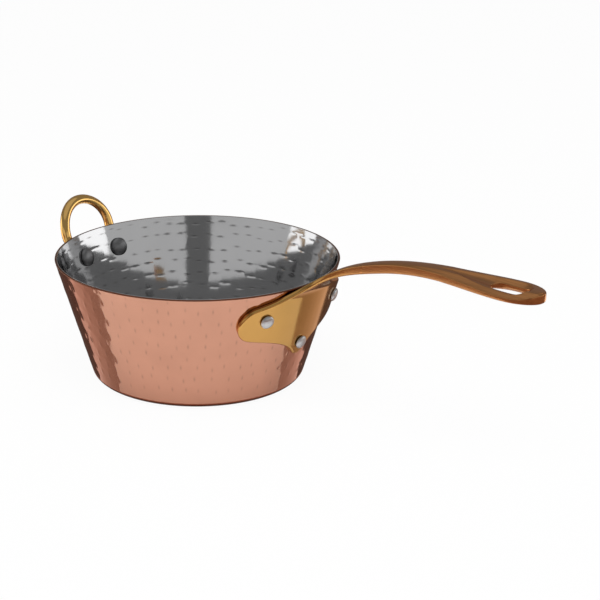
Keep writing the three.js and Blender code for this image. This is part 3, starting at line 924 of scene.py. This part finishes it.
def build_lamp():
    lamp_data = bpy.data.lights.new("overhead", "AREA")
    lamp_data.shape = "RECTANGLE"
    lamp_data.size, lamp_data.size_y = LAMP_SIZE
    lamp_data.energy = LAMP_POWER
    lamp = bpy.data.objects.new("overhead", lamp_data)
    bpy.context.scene.collection.objects.link(lamp)
    lamp.location = LAMP_PLACE
    lamp.visible_glossy = False
    lamp.rotation_euler = (Vector((0, 0, 0)) - lamp.location).to_track_quat("-Z", "Y").to_euler()


# Cards that only the metals' reflections see

def glow_material(name, colour):
    """A card that gives back as much light as its points say."""
    material, nodes, links = new_material(name)
    nodes.remove(nodes["Principled BSDF"])
    share = nodes.new("ShaderNodeAttribute")
    share.attribute_name = "glow"
    glow = nodes.new("ShaderNodeEmission")
    glow.inputs["Color"].default_value = (*colour, 1.0)
    links.new(share.outputs["Fac"], glow.inputs["Strength"])
    links.new(glow.outputs["Emission"], nodes["Material Output"].inputs["Surface"])
    return material


def card(name, grid, colour, glow):
    """A card from a grid of points in metres, with a glow for each of the grid's rows."""
    rows, columns, _ = grid.shape
    faces = []
    for row in range(rows - 1):
        for i in range(columns - 1):
            a = row * columns + i
            faces.append((a, a + 1, a + 1 + columns, a + columns))
    points = grid.reshape(-1, 3).tolist()
    piece = stage_mesh(name, points, faces, glow_material(name, colour), shown=False)
    values = np.repeat(glow, columns)
    piece.data.attributes.new("glow", "FLOAT", "POINT").data.foreach_set("value", values)
    piece.visible_diffuse = False
    piece.visible_shadow = False


def upright_card(name, turn, spread, distance, heights, colour, glow):
    """An upright curved card round the pot, in metres, turned from the camera's heading by some degrees."""
    turns = HEADING + np.radians(turn + np.linspace(-spread, spread, CARD_STEPS))
    x = distance * np.cos(turns)
    y = distance * np.sin(turns)
    grid = [np.stack([x, y, np.full(CARD_STEPS, height)], axis=-1) for height in heights]
    card(name, np.array(grid), colour, (glow, glow))


def floor_place(forward, left, height):
    """A place over the floor in millimetres: towards the camera and to its left of the pot's axis."""
    x = forward * math.cos(HEADING) + left * math.sin(HEADING)
    y = forward * math.sin(HEADING) - left * math.cos(HEADING)
    return np.array([x, y, height]) * MM


def floor_card(name, side, first, last, height, colour, glow):
    """A card on the floor between two straight lines, on the camera's left (1) or right (-1).

    A line is two places, each in millimetres towards the camera and to that side of the pot's axis.
    """
    rows = []
    for share in np.linspace(0, 1, len(glow)):
        ends = [mix(np.array(a, float), np.array(b, float), share) for a, b in zip(first, last)]
        rows.append([floor_place(forward, side * out, height) for forward, out in ends])
    card(name, np.array(rows), colour, glow)


def ring_card(name, radii, height, colour, glow, forward=0.0):
    """A level round card in millimetres, moved towards the camera, with a glow for each of its radii."""
    turns = np.linspace(0, FULL_TURN, RING_STEPS)
    rows = []
    for radius in radii:
        ahead = forward + radius * np.cos(turns)
        left = radius * np.sin(turns)
        rows.append([floor_place(*place, height) for place in zip(ahead, left)])
    card(name, np.array(rows), colour, glow)


def build_shades():
    """Dark floor on both sides of the pot, and a painted contact shadow round its foot, which the copper
    mirrors.
    """
    warm = (1.0, 0.75, 0.66)
    brown = (1.0, 0.62, 0.5)
    lift = 0.4
    border = ((35, 36), (35, 240))
    edge = ((18, 50), (-90, 185))
    back = ((-60, 46), (-320, 120))
    shade_glow = (0.34, 0.38, 0.45, 0.54, 0.64, 1.0)
    wing_glow = (0.1, 0.1)
    for side, word in SIDES:
        floor_card("shade_" + word, side, border, edge, lift, warm, shade_glow)
        floor_card("wing_" + word, side, edge, back, lift, brown, wing_glow)
    # A painted contact shadow round the foot, seen only in the copper's reflection.
    ring_card("painted_contact_shadow", (40, 52.4, 53.6), height=0.5, colour=brown, glow=(0.1, 0.1, 0.6), forward=-0.7)
    ring_card("surround", (150, 175, 1800), height=0.2, colour=brown, glow=(0.7, 0.28, 0.28))


def build_ceiling():
    ring_card("ceiling", (1, 2600), height=2200, colour=(1, 1, 1), glow=(0.45, 0.45))


def build_bright_floor():
    """Bright floor far to the sides, which the loop and the handle's tip mirror."""
    cream = (1.0, 0.9, 0.75)
    lift = 0.5
    loop_glow = (1.3, 1.3)
    tip_glow = (2.0, 2.0)
    front = ((20, 245), (20, 900))
    middle = ((-120, 190), (-120, 900))
    back = ((-400, 140), (-400, 900))
    floor_card("loop_floor", 1, front, middle, lift, cream, loop_glow)
    floor_card("loop_floor_back", 1, middle, back, lift, cream, loop_glow)
    floor_card("tip_floor", -1, ((50, 245), (50, 345)), ((-70, 245), (-70, 345)), lift, cream, tip_glow)


def build_walls():
    """Upright cards all round, darker at the camera, behind the pot and above, with two bright windows."""
    grey = (1, 1, 1)
    pale = (1.0, 0.88, 0.82)
    low = (0.0, 0.6)
    window_turn = 102.5
    upright_card("front_card", 0, spread=87, distance=1.5, heights=low, colour=grey, glow=0.56)
    upright_card("camera_card", 0, spread=11.5, distance=1.4, heights=low, colour=grey, glow=0.14)
    upright_card("back_card", 180, spread=62, distance=1.5, heights=(0.0, 0.8), colour=pale, glow=0.22)
    upright_card("upper_card", 0, spread=180, distance=1.55, heights=(0.6, 2.2), colour=grey, glow=0.22)
    for side, word in SIDES:
        turn = side * window_turn
        upright_card("window_" + word, turn, spread=15.5, distance=1.5, heights=low, colour=grey, glow=1.45)


def build_camera():
    camera_data = bpy.data.cameras.new("camera")
    camera_data.lens = CAMERA_LENS
    camera_data.sensor_width = SENSOR_WIDTH
    camera = bpy.data.objects.new("camera", camera_data)
    bpy.context.scene.collection.objects.link(camera)
    camera.location = CAMERA_PLACE
    aim = (Vector(CAMERA_AIM) - camera.location).to_track_quat("-Z", "Y")
    camera.rotation_mode = "QUATERNION"
    camera.rotation_quaternion = aim @ Quaternion((0, 0, 1), CAMERA_ROLL)
    bpy.context.scene.camera = camera


bpy.context.scene.view_settings.view_transform = "Standard"
build_pot()
build_handles()
build_rivets()
build_floor()
build_world()
build_lamp()
build_shades()
build_ceiling()
build_bright_floor()
build_walls()
build_camera()
